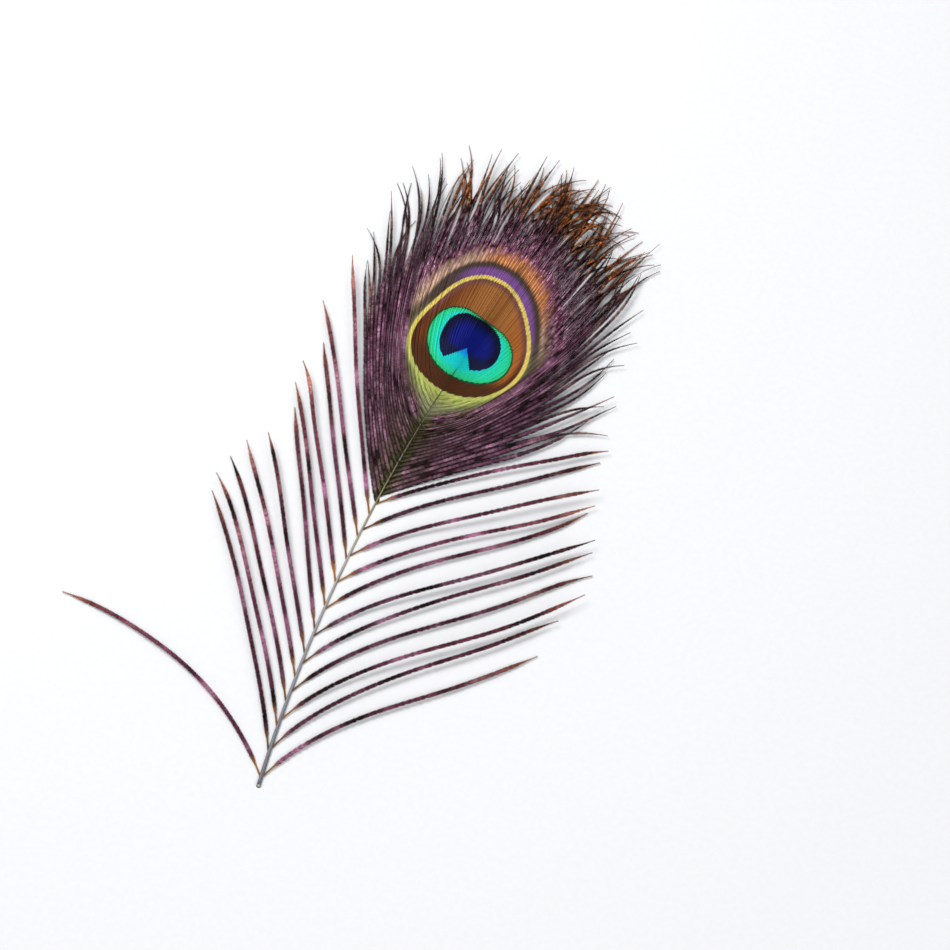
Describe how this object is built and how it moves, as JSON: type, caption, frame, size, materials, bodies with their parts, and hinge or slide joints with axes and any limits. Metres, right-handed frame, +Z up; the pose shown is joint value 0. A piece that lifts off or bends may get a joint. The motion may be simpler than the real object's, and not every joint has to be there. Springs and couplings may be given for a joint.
{
  "type": "peacock feather",
  "caption": "Cut peacock eye feather lying face up: shaft, loose purple barbs below, close flank barbs, and an iridescent eye with a crown fringe.",
  "frame": {"origin": "on the surface that the feather lies on, under the middle of its outline", "axes": "+Y along the feather from the cut end to the crown, +X to the right seen from above, +Z up out of the face"},
  "size_m": [0.1595, 0.2438, 0.0037],
  "materials": {
    "shaft_keratin": "satin",
    "loose_barbs": "satin",
    "flank_barbs": "satin",
    "eye_barbs": "gloss"
  },
  "bodies": {
    "root": {"shaft": "shaft_keratin", "loose_barb_left_01": "loose_barbs", "loose_barb_left_02": "loose_barbs", "loose_barb_left_03": "loose_barbs", "loose_barb_left_04": "loose_barbs", "loose_barb_left_05": "loose_barbs", "loose_barb_left_06": "loose_barbs", "loose_barb_left_07": "loose_barbs", "loose_barb_left_08": "loose_barbs", "loose_barb_left_09": "loose_barbs", "loose_barb_left_10": "loose_barbs", "loose_barb_left_11": "loose_barbs", "loose_barb_left_12": "loose_barbs", "loose_barb_right_01": "loose_barbs", "loose_barb_right_02": "loose_barbs", "loose_barb_right_03": "loose_barbs", "loose_barb_right_04": "loose_barbs", "loose_barb_right_05": "loose_barbs", "loose_barb_right_06": "loose_barbs", "loose_barb_right_07": "loose_barbs", "loose_barb_right_08": "loose_barbs", "loose_barb_right_09": "loose_barbs", "loose_barb_right_10": "loose_barbs", "loose_barb_right_11": "loose_barbs", "flank_barbs_left": "flank_barbs", "flank_barbs_right": "flank_barbs", "eye_barbs_left": "eye_barbs", "eye_barbs_right": "eye_barbs"}
  },
  "joints": []
}
